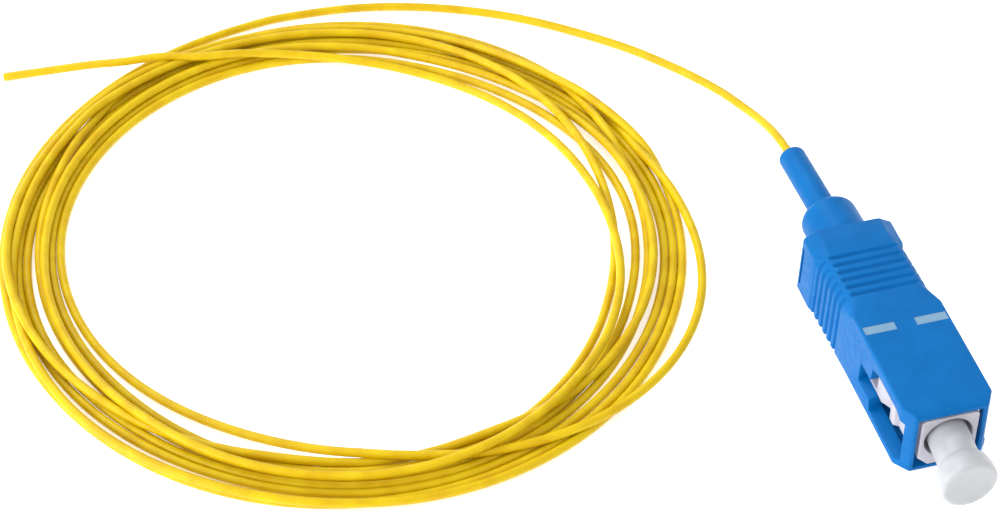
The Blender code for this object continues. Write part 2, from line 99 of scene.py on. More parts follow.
def add_camera():
    data = bpy.data.cameras.new("view")
    data.lens = LENS
    data.clip_start = CLOSEST_SEEN
    camera = bpy.data.objects.new("view", data)
    bpy.context.scene.collection.objects.link(camera)
    back = Vector((
        math.sin(VIEW_AZIMUTH) * math.cos(VIEW_ELEVATION),
        -math.cos(VIEW_AZIMUTH) * math.cos(VIEW_ELEVATION),
        math.sin(VIEW_ELEVATION),
    ))
    camera.location = VIEW_TARGET + back * VIEW_DISTANCE
    camera.rotation_euler = (-back).to_track_quat("-Z", "Y").to_euler()
    bpy.context.scene.camera = camera
    return camera


print("camera at", [round(value, 4) for value in add_camera().location])

# %% [markdown]
# ## The fibre: its facts
# A cord is modelled from its facts. This one is a 0.9 mm buffered fibre, stiff for its size. It leaves the
# end of the boot, sinks to the floor in a slow bend, runs to the coil, goes round nine times and ends bare.
# The points outside the coil are listed, in metres from the grip's front face.

# %% The fibre's size and its free stretches
FIBRE_DIAMETER = 0.9 * MM
BOOT_TIP = 40.91 * MM
BOOT_ASIDE = -0.55 * MM
INSIDE_BOOT = 1.2 * MM
LEAD_ROUTE = [
    (-0.0007, 0.0450, 0.00315),
    (-0.0010, 0.0486, 0.0022),
    (-0.0015, 0.0519, 0.0012),
    (-0.0032, 0.0566, 0.00055),
    (-0.0067, 0.0616, 0.0005),
    (-0.0118, 0.0672, 0.0005),
    (-0.0202, 0.0739, 0.0005),
    (-0.0286, 0.0782, 0.0005),
    (-0.0370, 0.0806, 0.0005),
    (-0.0454, 0.0812, 0.0005),
    (-0.0497, 0.08075, 0.0005),
]
TAIL_ROUTE = [
    (-0.0601, 0.07615, 0.00215),
    (-0.0644, 0.0767, 0.0019),
    (-0.0674, 0.0776, 0.0015),
    (-0.0720, 0.0786, 0.0009),
    (-0.0770, 0.0793, 0.00052),
]
print("fibre: %.1f mm thick, %d points by hand" % (FIBRE_DIAMETER / MM, len(LEAD_ROUTE + TAIL_ROUTE)))

# %% [markdown]
# ## The coil: what each turn does
# A loose coil isn't a helix: every turn wanders in and out and crosses its neighbours. Each row below is
# one turn, read as its distance from the coil's centre, in millimetres, at every 30 degrees.

# %% The coil's readings
COIL_CENTRE = (-0.0476, 0.0436)
READING_STEP = 30
FIRST_READING = 60
LEAD_RADII = [39.3, 37.1]
TURN_RADII = [
    [35.6, 34.9, 33.7, 34.0, 34.9, 34.9, 34.7, 33.6, 33.3, 32.3, 31.6, 32.9],
    [32.8, 32.1, 32.2, 31.2, 32.2, 33.3, 32.4, 31.0, 30.8, 33.4, 34.9, 35.3],
    [34.1, 31.2, 30.2, 29.9, 31.3, 32.5, 31.5, 29.5, 29.8, 28.6, 28.3, 30.2],
    [30.1, 29.3, 28.0, 27.2, 27.0, 29.6, 35.6, 37.9, 34.0, 32.8, 32.6, 33.5],
    [33.2, 32.7, 32.6, 32.5, 32.9, 34.1, 33.4, 32.75, 32.5, 32.0, 30.6, 31.2],
    [31.0, 30.0, 29.0, 28.6, 30.3, 31.6, 29.7, 27.4, 27.5, 30.2, 33.1, 34.2],
    [33.9, 33.4, 33.0, 33.9, 33.9, 35.5, 35.3, 34.5, 34.0, 33.1, 34.0, 34.7],
    [34.6, 34.0, 33.2, 30.7, 29.5, 29.7, 30.7, 31.6, 31.3, 30.6, 29.6, 32.2],
    [31.8, 30.6, 29.6, 29.4, 30.8, 32.0, 30.4, 28.6, 26.6, 26.8, 27.3, 30.2],
]
TAIL_RADII = [37.6, 44.0]
print("turns read:", len(TURN_RADII))

# %% [markdown]
# ## The coil: a curve through the readings
# Twelve readings a turn are too few to draw, so a smooth curve goes through
# them and gives a radius at any angle. The angle keeps growing from turn to
# turn, so the whole coil is one row of radii.

# %% A radius at every angle
def between(a, b, c, d, part):
    """The smooth curve from b to c, with a and d as its neighbours."""
    return 0.5 * (2 * b + (c - a) * part + (2 * a - 5 * b + 4 * c - d) * part ** 2
                  + (3 * b - a - 3 * c + d) * part ** 3)


def seen_radius(angle):
    """Distance from the coil's centre, as it is seen, at an angle that grows along the fibre."""
    readings = LEAD_RADII + sum(TURN_RADII, []) + TAIL_RADII
    place = (angle - FIRST_READING) / READING_STEP
    i = int(place)
    return between(*readings[i - 1:i + 3], place - i) * MM


ANGLE_STEP = 6
COIL_START = 99
COIL_END = 105 + 360 * len(TURN_RADII)
angles = np.arange(COIL_START, COIL_END + 1, ANGLE_STEP)
seen = np.array([seen_radius(angle) for angle in angles])
print("coil points:", len(angles))

# %% [markdown]
# ## The coil: which strand lies on top
# Nine turns share a band about nine fibres wide, so where they cross, one has
# to lie on top of the other. This is settled once, by the heights that the
# strands start from. A strand that crosses steeply, and a later turn, start
# higher, so they end up on top.

# %% The first heights, and the crossings
POINTS_PER_TURN = 360 // ANGLE_STEP
STEEP_LIFT = 9.0
MOST_LIFT = 1.37 * MM
LATER_LIFT = 0.2 * MM


def start_heights():
    steepness = np.abs(np.gradient(seen)) / ANGLE_STEP
    turn = np.arange(len(seen)) / POINTS_PER_TURN
    return FIBRE_DIAMETER / 2 + np.minimum(STEEP_LIFT * steepness, MOST_LIFT) + LATER_LIFT * turn


def crossings(height):
    """Where two turns cross: the point below and the point above, at both sides of the crossing."""
    below, above = [], []
    for gap in range(POINTS_PER_TURN, len(seen), POINTS_PER_TURN):
        ahead = seen[gap:] - seen[:-gap]
        for i in np.flatnonzero(ahead[1:] * ahead[:-1] < 0):
            later_on_top = height[i + gap] >= height[i]
            for j in (i, i + 1):
                below.append(j if later_on_top else j + gap)
                above.append(j + gap if later_on_top else j)
    return np.array(below), np.array(above)


height = start_heights()
below, above = crossings(height)
print("crossings:", len(below) // 2)

# %% [markdown]
# ## The coil: letting the turns settle
# Six hundred small steps find the heights: each point sinks a little, bending
# is smoothed, and any two fibres closer than one diameter push each other
# apart. A physics simulation could find them too, but this takes a moment.
# The camera sees a raised strand further back than it is, so the readings
# are corrected by each strand's height.

# %% Settle the turns on each other
SETTLE_ROUNDS = 600
EASE_AFTER = 400
LEAST_EASE = 0.15
SINK = 0.03 * MM
PULL = 0.15
SMOOTH_HEIGHT = 0.5
SMOOTH_RADIUS = 0.25
SIDEWAYS_SHARE = 0.8
OPENING_ROUNDS = 6
NEVER_ZERO = 1e-9
READ_HEIGHT = 0.8 * MM
LEAD_HEIGHT = 0.5 * MM
TAIL_HEIGHT = 2.2 * MM


def push_apart(radius, height):
    for gap in range(POINTS_PER_TURN, len(radius), POINTS_PER_TURN):
        out = radius[gap:] - radius[:-gap]
        up = height[gap:] - height[:-gap]
        distance = np.hypot(out, up) + NEVER_ZERO
        push = np.clip(FIBRE_DIAMETER - distance, 0, None) / distance / 2
        radius[gap:] += SIDEWAYS_SHARE * push * out
        radius[:-gap] -= SIDEWAYS_SHARE * push * out
        height[gap:] += push * up
        height[:-gap] -= push * up


def open_crossings(height):
    """Part the two strands of each crossing, a little in every round."""
    lack = np.clip(FIBRE_DIAMETER - (height[above] - height[below]), 0, None)
    np.add.at(height, above, lack / OPENING_ROUNDS)
    np.subtract.at(height, below, lack / OPENING_ROUNDS)


def soften(values, amount):
    values[1:-1] += amount * ((values[:-2] + values[2:]) / 2 - values[1:-1])


def settle(radius, height):
    view_heading = math.pi / 2 + VIEW_AZIMUTH
    lean = np.cos(np.radians(angles) - view_heading) / math.tan(VIEW_ELEVATION)
    for done in range(SETTLE_ROUNDS):
        ease = min(1.0, (SETTLE_ROUNDS - done) / (SETTLE_ROUNDS - EASE_AFTER))
        radius += PULL * max(ease, LEAST_EASE) * (seen - (height - READ_HEIGHT) * lean - radius)
        height -= SINK * ease
        height[0] = LEAD_HEIGHT
        height[-1] = TAIL_HEIGHT
        soften(height, SMOOTH_HEIGHT)
        soften(radius, SMOOTH_RADIUS)
        push_apart(radius, height)
        open_crossings(height)
        np.maximum(height, FIBRE_DIAMETER / 2, out=height)


radius = seen.copy()
settle(radius, height)
print("coil radii %.4f to %.4f, highest line %.4f" % (radius.min(), radius.max(), height.max()))

# %% [markdown]
# ## The fibre: its whole route
# The way out of the boot, the lead, the coil and the tail become one row of
# points. A smooth curve goes through them and is cut into equal steps, because
# a tube drawn on uneven steps shows kinks. The row's length is the fibre's.

# %% Evenly spaced points
PATH_STEP = 1.5 * MM
FINE_PARTS = 12


def smooth_path(points, step):
    """Evenly spaced points on a smooth curve through the given points."""
    path = [points[0] * 2 - points[1]] + points + [points[-1] * 2 - points[-2]]
    fine = []
    for i in range(1, len(path) - 2):
        for k in range(FINE_PARTS):
            fine.append(between(*path[i - 1:i + 3], k / FINE_PARTS))
    fine.append(points[-1])
    reach = [0.0]
    for start, end in zip(fine, fine[1:]):
        reach.append(reach[-1] + (end - start).length)
    wanted = np.linspace(0, reach[-1], round(reach[-1] / step) + 1)
    columns = [np.interp(wanted, reach, [point[axis] for point in fine]) for axis in range(3)]
    return [Vector(point) for point in zip(*columns)], reach[-1]


def coil_points():
    turned = np.radians(angles)
    x = COIL_CENTRE[0] + radius * np.cos(turned)
    y = COIL_CENTRE[1] + radius * np.sin(turned)
    return [from_front(*point) for point in zip(x, y, height)]


def fibre_route():
    start = [from_front(BOOT_ASIDE, BOOT_TIP - INSIDE_BOOT, AXIS_HEIGHT),
             from_front(BOOT_ASIDE, BOOT_TIP, AXIS_HEIGHT)]
    lead = [from_front(*point) for point in LEAD_ROUTE]
    tail = [from_front(*point) for point in TAIL_ROUTE]
    return smooth_path(start + lead + coil_points() + tail, PATH_STEP)


fibre_path, fibre_length = fibre_route()
print("fibre length %.3f m in %d points" % (fibre_length, len(fibre_path)))

# %% [markdown]
# ## The fibre: one tube
# Blender can give a curve a round section, which is the simplest way to draw a
# cord. The result is turned into a mesh, with its end caps welded on, and
# replaces the three plain solids of the frame.

# %% Draw the fibre
TUBE_ROUNDNESS = 4
WELD_WITHIN = 1e-6
SHARP_END = math.radians(60)


def tube_along(path):
    """The mesh of a round tube along a row of points."""
    curve = bpy.data.curves.new("fibre", "CURVE")
    curve.dimensions = "3D"
    curve.bevel_depth = FIBRE_DIAMETER / 2
    curve.bevel_resolution = TUBE_ROUNDNESS
    curve.use_fill_caps = True
    spline = curve.splines.new("POLY")
    spline.points.add(len(path) - 1)
    for place, point in zip(spline.points, path):
        place.co = (*point, 1)
    line = bpy.data.objects.new("fibre_line", curve)
    bpy.context.scene.collection.objects.link(line)
    graph = bpy.context.evaluated_depsgraph_get()
    mesh = bpy.data.meshes.new_from_object(line.evaluated_get(graph), depsgraph=graph)
    bpy.data.objects.remove(line)
    return mesh


def weld(mesh):
    """Join the end caps to the tube, and turn every face outwards."""
    bm = bmesh.new()
    bm.from_mesh(mesh)
    bmesh.ops.remove_doubles(bm, verts=bm.verts, dist=WELD_WITHIN)
    bmesh.ops.recalc_face_normals(bm, faces=bm.faces)
    bm.to_mesh(mesh)
    bm.free()


def draw_fibre():
    mesh = tube_along(fibre_path)
    weld(mesh)
    mesh.shade_smooth()
    mesh.set_sharp_from_angle(angle=SHARP_END)
    piece = bpy.data.objects.new("fibre", mesh)
    bpy.context.scene.collection.objects.link(piece)
    return piece


fibre = draw_fibre()
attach(fibre, "plug")
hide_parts("fibre_lead", "fibre_coil", "fibre_tail")
print("fibre faces:", len(fibre.data.polygons))

# %% [markdown]
# ## Building in millimetres
# The connector's pieces are small mouldings with flat walls, openings and
# turned ends. They could be modelled from stretched cubes, but rings of points
# say more: one ring for each place where the section changes. Each piece is
# drawn in millimetres from the grip's front face, and moved to its place in
# metres when it is finished.

# %% Rings, prisms, boxes and turned shapes
TALL = 7.4
AXIS = TALL / 2
ROUND_SIDES = 64


def add_rings(bm, rings, closed_path=False):
    """Skin a row of equal rings, and cap both ends of an open row."""
    loops = [[bm.verts.new(point) for point in ring] for ring in rings]
    pairs = list(zip(loops, loops[1:]))
    if closed_path:
        pairs.append((loops[-1], loops[0]))
    for near, far in pairs:
        for i in range(len(near)):
            j = (i + 1) % len(near)
            bm.faces.new((near[i], near[j], far[j], far[i]))
    if not closed_path:
        bm.faces.new(list(reversed(loops[0])))
        bm.faces.new(loops[-1])


def add_prism(bm, outline, axis, low, high):
    """Extrude a flat outline along X, Y or Z, between low and high."""
    rings = [[(*point[:axis], depth, *point[axis:]) for point in outline] for depth in (low, high)]
    add_rings(bm, rings)


def add_box(bm, low, high):
    outline = [(low[0], low[1]), (high[0], low[1]), (high[0], high[1]), (low[0], high[1])]
    add_prism(bm, outline, 2, low[2], high[2])


def add_turned(bm, profile, lean=0.0, pivot=0.0, closed_path=False):
    """Rings about the connector's axis for (y, radius) points; a lean moves them aside with y."""
    turn = [2 * math.pi * i / ROUND_SIDES for i in range(ROUND_SIDES)]
    rings = []
    for y, size in profile:
        aside = lean * (y - pivot)
        rings.append([(aside + size * math.cos(t), y, AXIS + size * math.sin(t)) for t in turn])
    add_rings(bm, rings, closed_path)


print("rings of a turned shape have", ROUND_SIDES, "sides, %.1f above the floor" % AXIS)

# %% [markdown]
# ## Joining, cutting and rounding
# Openings with straight walls are what booleans do well, so one solid is cut
# from another, and the result is kept as a plain mesh. A boolean leaves knife
# edges that no mould makes, so the outward ones are bevelled a little.

# %% Drafts, booleans and rounded edges
FLAT_WITHIN = math.radians(0.2)
SAME_POINT_WITHIN = 0.002
BEVEL_STEPS = 3
ROUNDED_ABOVE = math.radians(50)


def draft(name, bm):
    """An unfinished object, still in millimetres."""
    bmesh.ops.recalc_face_normals(bm, faces=bm.faces)
    mesh = bpy.data.meshes.new(name)
    bm.to_mesh(mesh)
    bm.free()
    item = bpy.data.objects.new(name, mesh)
    bpy.context.scene.collection.objects.link(item)
    return item


def apply_modifiers(item):
    """Keep the result of the modifiers as a plain mesh."""
    graph = bpy.context.evaluated_depsgraph_get()
    result = bpy.data.meshes.new_from_object(item.evaluated_get(graph), depsgraph=graph)
    old = item.data
    item.modifiers.clear()
    item.data = result
    bpy.data.meshes.remove(old)


def combine(item, tool, operation):
    modifier = item.modifiers.new("combine", "BOOLEAN")
    modifier.operation = operation
    modifier.solver = "EXACT"
    modifier.object = tool
    apply_modifiers(item)
    bpy.data.objects.remove(tool)


def cut(item, name, bm):
    """Take a solid away from an item."""
    combine(item, draft(name, bm), "DIFFERENCE")


def round_edges(item, width):
    """Round the sharp edges that point outwards."""
    bm = bmesh.new()
    bm.from_mesh(item.data)
    bmesh.ops.remove_doubles(bm, verts=bm.verts, dist=SAME_POINT_WITHIN)
    bmesh.ops.dissolve_limit(bm, angle_limit=FLAT_WITHIN, verts=bm.verts, edges=bm.edges)
    edges = [edge for edge in bm.edges if len(edge.link_faces) == 2 and edge.is_convex
             and edge.calc_face_angle() > ROUNDED_ABOVE]
    bmesh.ops.bevel(bm, geom=edges, offset=width, segments=BEVEL_STEPS, profile=0.5,
                    affect="EDGES", clamp_overlap=False)
    bm.to_mesh(item.data)
    bm.free()


print("edges above %.0f degrees are rounded" % math.degrees(ROUNDED_ABOVE))

# %% [markdown]
# ## Finishing a piece
# Each finished piece is moved to its place, gets its materials, is attached to the body that it moves with,
# and hides the plain solid that it stands in for. Curved faces are shaded smooth, and edges stay sharp.

# %% Finish a piece
SHARP_EDGE = math.radians(38)
PLACE = Matrix.Translation((0, FRONT, 0)) @ Matrix.Scale(MM, 4)


def finish_piece(item, body, materials, replaced):
    """Move a draft to its place, give it its materials and its body, and hide the solid it replaces."""
    item.data.transform(PLACE)
    item.data.shade_smooth()
    item.data.set_sharp_from_angle(angle=SHARP_EDGE)
    painted = [face.material_index for face in item.data.polygons]
    item.data.materials.clear()
    for material in materials:
        item.data.materials.append(material)
    item.data.polygons.foreach_set("material_index", painted)
    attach(item, body)
    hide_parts(replaced)
    print(item.name, "faces:", len(item.data.polygons))


print("finished pieces are scaled by", MM, "and moved %.5f m along y" % FRONT)

# %% [markdown]
# ## Noise and blends for the finishes
# A finish is a small tree of shader nodes. The helpers here add a noise with
# patches of a given size, turn it into a number or a colour between two
# others, and press it into the surface as bump. Sizes are in millimetres on
# the object, so that a finish looks right up close.

# %% Material helpers
NOISE_LOW = 0.35
NOISE_HIGH = 0.65


def start_finish(name, roughness):
    """A new material with its shader, and Object coordinates counted in millimetres."""
    material = bpy.data.materials.new(name)
    material.use_nodes = True
    tree = material.node_tree
    shader = tree.nodes["Principled BSDF"]
    shader.inputs["Roughness"].default_value = roughness
    place = tree.nodes.new("ShaderNodeTexCoord")
    scale = tree.nodes.new("ShaderNodeMapping")
    scale.inputs["Scale"].default_value = (1 / MM, 1 / MM, 1 / MM)
    tree.links.new(place.outputs["Object"], scale.inputs["Vector"])
    return material, tree, shader, scale.outputs["Vector"]


def cloudy(tree, vector, size, detail=3.0):
    """Soft noise whose patches are about size millimetres wide."""
    noise = tree.nodes.new("ShaderNodeTexNoise")
    noise.inputs["Scale"].default_value = 1 / size
    noise.inputs["Detail"].default_value = detail
    tree.links.new(vector, noise.inputs["Vector"])
    return noise.outputs["Fac"]


def between_values(tree, factor, low, high, start=NOISE_LOW, end=NOISE_HIGH):
    """Turn a noise into a number that runs from low to high."""
    node = tree.nodes.new("ShaderNodeMapRange")
    node.inputs["From Min"].default_value = start
    node.inputs["From Max"].default_value = end
    node.inputs["To Min"].default_value = low
    node.inputs["To Max"].default_value = high
    tree.links.new(factor, node.inputs["Value"])
    return node.outputs["Result"]


def between_colours(tree, factor, low, high):
    node = tree.nodes.new("ShaderNodeMix")
    node.data_type = "RGBA"
    node.inputs["A"].default_value = (*low, 1)
    node.inputs["B"].default_value = (*high, 1)
    tree.links.new(factor, node.inputs["Factor"])
    return node.outputs["Result"]


def emboss(tree, shader, heights, distance):
    """Bump from a few heights added up, distance in millimetres."""
    total = heights[0]
    for height in heights[1:]:
        add = tree.nodes.new("ShaderNodeMath")
        add.operation = "ADD"
        tree.links.new(total, add.inputs[0])
        tree.links.new(height, add.inputs[1])
        total = add.outputs[0]
    bump = tree.nodes.new("ShaderNodeBump")
    bump.inputs["Distance"].default_value = distance * MM
    tree.links.new(total, bump.inputs["Height"])
    tree.links.new(bump.outputs["Normal"], shader.inputs["Normal"])


print("noises run from", NOISE_LOW, "to", NOISE_HIGH)

# %% [markdown]
# ## How a plastic is made
# Moulded plastic is never one flat colour. Its pigment flows in slow streaks,
# the mould leaves a fine grain that breaks up the gloss, and handling leaves
# small matt marks. Every plastic here is made of the same noises, and the
# milky ones also let light in: it comes out beside where it went in, which is
# what subsurface scattering does.

# %% Moulded plastic
STREAK_SIZE = 2.5
MARK_SIZE = 0.7
MARK_DETAIL = 5.0
GLOSSIER = 0.06
DULLER = 0.09
WAVE_SIZE = 1.6
WAVE_DETAIL = 1.0
WAVE_HEIGHT = 2.0


def moulded(name, low, high, roughness, grain, depth):
    """A moulded plastic between two colours, with grain and depth in millimetres."""
    material, tree, shader, vector = start_finish(name, roughness)
    streaks = between_values(tree, cloudy(tree, vector, STREAK_SIZE), 0.0, 1.0)
    tree.links.new(between_colours(tree, streaks, low, high), shader.inputs["Base Color"])
    marks = cloudy(tree, vector, MARK_SIZE, MARK_DETAIL)
    gloss = between_values(tree, marks, roughness - GLOSSIER, roughness + DULLER)
    tree.links.new(gloss, shader.inputs["Roughness"])
    fine = between_values(tree, cloudy(tree, vector, grain), 0.0, 1.0)
    slow = between_values(tree, cloudy(tree, vector, WAVE_SIZE, WAVE_DETAIL), 0.0, WAVE_HEIGHT)
    emboss(tree, shader, [fine, slow], depth)
    return material, shader


def let_light_in(shader, share, reach, colour_reach=(1, 1, 1)):
    """Scatter a share of the light inside, up to reach in millimetres."""
    shader.inputs["Subsurface Weight"].default_value = share
    shader.inputs["Subsurface Radius"].default_value = colour_reach
    shader.inputs["Subsurface Scale"].default_value = reach * MM


print("plastic streaks are about", STREAK_SIZE, "mm wide")

# %% [markdown]
# ## The connector's plastics
# The grip and boot are satin blue, with two pale bars painted on the grip. The
# plug frame is an off-white with a cold tint that lets a little light in, and
# the dust cap is natural plastic, milky and frosted.

# %% The plastics
blue, blue_shader = moulded("blue_plastic", (0.0002, 0.116, 0.366), (0.0007, 0.128, 0.395),
                            roughness=0.42, grain=0.09, depth=0.006)
blue_shader.inputs["Specular IOR Level"].default_value = 0.1
pale, pale_shader = moulded("pale_bar", (0.148, 0.286, 0.43), (0.168, 0.31, 0.455),
                            roughness=0.5, grain=0.07, depth=0.008)
white, white_shader = moulded("white_plastic", (0.41, 0.398, 0.448), (0.45, 0.438, 0.49),
                              roughness=0.38, grain=0.12, depth=0.004)
let_light_in(white_shader, 0.6, 0.8)
frosted, frosted_shader = moulded("frosted_plastic", (0.40, 0.41, 0.43), (0.435, 0.445, 0.465),
                                  roughness=0.36, grain=0.10, depth=0.006)
let_light_in(frosted_shader, 0.9, 1.0)
print("plastics:", [item.name for item in (blue, pale, white, frosted)])

# %% [markdown]
# ## Ceramic and steel
# The ferrule is ceramic, ground and polished until it shines, so it gets a
# thin clear coat and hardly any grain. Its spring is drawn steel wire, which
# keeps fine lines from the die.

# %% Polished ceramic and drawn steel
ceramic, ceramic_shader = moulded("polished_ceramic", (0.84, 0.83, 0.80), (0.88, 0.87, 0.85),
                                  roughness=0.14, grain=0.05, depth=0.001)
ceramic_shader.inputs["Coat Weight"].default_value = 0.3
DRAWN_LINE_SIZE = 0.06


def drawn_steel():
    """Steel wire: metallic, with fine lines left by the die."""
    material, tree, shader, vector = start_finish("drawn_steel", 0.3)
    shader.inputs["Metallic"].default_value = 1.0
    lines = between_values(tree, cloudy(tree, vector, DRAWN_LINE_SIZE, 6.0), 0.0, 1.0)
    colour = between_colours(tree, lines, (0.42, 0.42, 0.43), (0.62, 0.62, 0.63))
    tree.links.new(colour, shader.inputs["Base Color"])
    tree.links.new(between_values(tree, lines, 0.22, 0.42, 0, 1), shader.inputs["Roughness"])
    emboss(tree, shader, [lines], 0.003)
    return material


steel = drawn_steel()
print("finishes:", ceramic.name, "and", steel.name)

# %% [markdown]
# ## The fibre's jacket
# The jacket is a soft satin yellow that was drawn out through a die. Its
# colour drifts slowly between a deeper and a paler yellow, its skin has a very
# fine grain, and light that enters it comes out warm, red reaching furthest.

# %% The fibre's finish
jacket, jacket_shader = moulded("yellow_jacket", (0.58, 0.375, 0.001), (0.66, 0.475, 0.003),
                                roughness=0.36, grain=0.15, depth=0.003)
jacket_shader.inputs["Specular IOR Level"].default_value = 0.2
let_light_in(jacket_shader, 0.35, 0.3, (1, 0.6, 0.1))
fibre.data.materials.append(jacket)
print("the fibre is now", jacket.name)

# %% [markdown]
# ## The grip: its sizes
# The grip is the blue shell that the fingers pull. Seen from the front it is a
# plain box, but its section changes along the way: a nose that widens, square
# edges, edges that run out into chamfers where the ribs are, and a wider pad
# at the back. All these sizes are in millimetres.

# %% The grip's sizes
WIDTH_HALF = 4.5
LONG = 26.1
NOSE_HALF = 3.55
NOSE_BEVEL = 0.3
NOSE_LENGTH = 1.45
BEVEL_HALF = NOSE_HALF + (WIDTH_HALF - NOSE_HALF) * NOSE_BEVEL / NOSE_LENGTH
SQUARE_EDGE = 0.12
FOOT_EDGE = 0.07
FOOT_SHARE = 0.1
CORNER = 0.1
CHAMFER_STARTS = 13.7
RIBS_START = 15.9
RIBS_END = 22.4
RIB_ACROSS = 0.8
RIB_DOWN = 1.15
RIB_CORNER = 0.45
PAD_RAMP_START = 22.45
PAD_RAMP_LENGTH = 0.5
PAD_HALF = 4.62
PAD_ACROSS = 1.35
PAD_DOWN = 0.85
PAD_CORNER = 0.2
print("grip: %.1f long, %.1f wide, %.1f at its pad" % (LONG, 2 * WIDTH_HALF, 2 * PAD_HALF))

# %% [markdown]
# ## The grip: one section
# A section has eight corners, and each corner is rounded in the ring itself,
# so the long edges need no bevel afterwards. Extra points lie along the sides,
# closest together near the edges, because the ribs press them in later.

# %% One section of the grip
LONG_SIDE_PARTS = (0.02, 0.04, 0.065, 0.1, 0.2, 0.35, 0.5, 0.65, 0.8, 0.9, 0.935, 0.96, 0.98)
SHORT_SIDE_PARTS = (0.25, 0.5, 0.75)
MOST_OF_A_SIDE = 0.4
UPPER_CORNERS = range(3, 7)


def grip_ring(y, half, inset, across, down, upper=CORNER):
    """A ring across the grip: flat faces, cut corners, and each corner a little rounded."""
    low, high, foot = inset * FOOT_SHARE, TALL - inset, FOOT_EDGE
    corners = [Vector(point) for point in (
        (-half + foot, low), (half - foot, low), (half, low + foot), (half, high - down),
        (half - across, high), (-half + across, high), (-half, high - down), (-half, low + foot))]
    bends = []
    for i, corner in enumerate(corners):
        before = corners[i - 1] - corner
        after = corners[(i + 1) % len(corners)] - corner
        size = upper if i in UPPER_CORNERS else CORNER
        start = corner + before.normalized() * min(size, before.length * MOST_OF_A_SIDE)
        end = corner + after.normalized() * min(size, after.length * MOST_OF_A_SIDE)
        bends.append((start, (start + end) / 4 + corner / 2, end))
    ring = []
    for i, bend in enumerate(bends):
        ring += bend
        next_start = bends[(i + 1) % len(bends)][0]
        parts = SHORT_SIDE_PARTS if i % 2 else LONG_SIDE_PARTS
        ring += [bend[2].lerp(next_start, part) for part in parts]
    return [(point.x, y, point.y) for point in ring]


print("points in a section:", len(grip_ring(0, WIDTH_HALF, 0, SQUARE_EDGE, SQUARE_EDGE)))

# %% [markdown]
# ## The grip: its outside
# The sections follow each other from front to back. Each bend of the outline
# has one section just before it and one just after, which rounds it. Under
# the ribs the sections lie close together, and the pad swells out of them
# along a smooth step.

# %% The grip's outside
FRONT_SECTIONS = [
    (0, NOSE_HALF - 0.06, NOSE_BEVEL + 0.06),
    (0.02, NOSE_HALF, NOSE_BEVEL - 0.02),
    (NOSE_BEVEL - 0.04, BEVEL_HALF - 0.02, 0.03),
    (NOSE_BEVEL + 0.06, BEVEL_HALF + 0.04, 0),
    (NOSE_LENGTH - 0.06, WIDTH_HALF - 0.05, 0),
    (NOSE_LENGTH + 0.08, WIDTH_HALF, 0),
    (CHAMFER_STARTS, WIDTH_HALF, 0),
]
RIB_SECTION = (WIDTH_HALF, RIB_ACROSS, RIB_DOWN, RIB_CORNER)
RIB_STEP = 0.05
PAD_SECTION = (PAD_HALF, PAD_ACROSS, PAD_DOWN, PAD_CORNER)
PAD_RAMP_PARTS = (0, 0.15, 0.35, 0.65, 0.85, 1)
REAR_ROUND = [(0.09, 0), (0.03, 0.03), (0, 0.09)]


def grip_outside():
    rings = [grip_ring(y, half, inset, SQUARE_EDGE, SQUARE_EDGE) for y, half, inset in FRONT_SECTIONS]
    for y in np.arange(RIBS_START, RIBS_END, RIB_STEP):
        rings.append(grip_ring(float(y), WIDTH_HALF, 0, RIB_ACROSS, RIB_DOWN, RIB_CORNER))
    for part in PAD_RAMP_PARTS:
        rise = part * part * (3 - 2 * part)
        half, across, down, corner = (a + (b - a) * rise for a, b in zip(RIB_SECTION, PAD_SECTION))
        rings.append(grip_ring(PAD_RAMP_START + PAD_RAMP_LENGTH * part, half, 0, across, down, corner))
    for before_end, off in REAR_ROUND:
        rings.append(grip_ring(LONG - before_end, PAD_HALF - off, off, PAD_ACROSS, PAD_DOWN, PAD_CORNER))
    bm = bmesh.new()
    add_rings(bm, rings)
    return draft("grip", bm)


grip = grip_outside()
print("grip outside:", len(grip.data.vertices), "points")

# %% [markdown]
# ## Helpers for Geometry Nodes
# Geometry Nodes make what repeats or follows a rule. The helpers here add a
# named input or a piece of arithmetic, close a tree so that it gives one plain
# mesh, and run it on an object.

# %% Node helpers for shapes
def add_input(tree, name, kind="NodeSocketFloat"):
    return tree.interface.new_socket(name, in_out="INPUT", socket_type=kind)


def calculate(tree, operation, *values):
    """A Math node, fed by sockets or plain numbers."""
    node = tree.nodes.new("ShaderNodeMath")
    node.operation = operation
    for socket, value in zip(node.inputs, values):
        if isinstance(value, (int, float)):
            socket.default_value = value
        else:
            tree.links.new(value, socket)
    return node.outputs[0]


def fade(tree, value, start, end):
    """1 where value is below start, 0 above end, and smooth between them."""
    node = tree.nodes.new("ShaderNodeMapRange")
    node.interpolation_type = "SMOOTHSTEP"
    node.inputs["To Min"].default_value = 1
    node.inputs["To Max"].default_value = 0
    for name, source in (("Value", value), ("From Min", start), ("From Max", end)):
        if isinstance(source, (int, float)):
            node.inputs[name].default_value = source
        else:
            tree.links.new(source, node.inputs[name])
    return node.outputs["Result"]


def end_tree(tree, geometry, material):
    """Close a tree with Realize Instances and Set Material."""
    tree.interface.new_socket("Geometry", in_out="OUTPUT", socket_type="NodeSocketGeometry")
    realize = tree.nodes.new("GeometryNodeRealizeInstances")
    paint = tree.nodes.new("GeometryNodeSetMaterial")
    paint.inputs["Material"].default_value = material
    output = tree.nodes.new("NodeGroupOutput")
    tree.links.new(geometry, realize.inputs["Geometry"])
    tree.links.new(realize.outputs["Geometry"], paint.inputs["Geometry"])
    tree.links.new(paint.outputs["Geometry"], output.inputs["Geometry"])


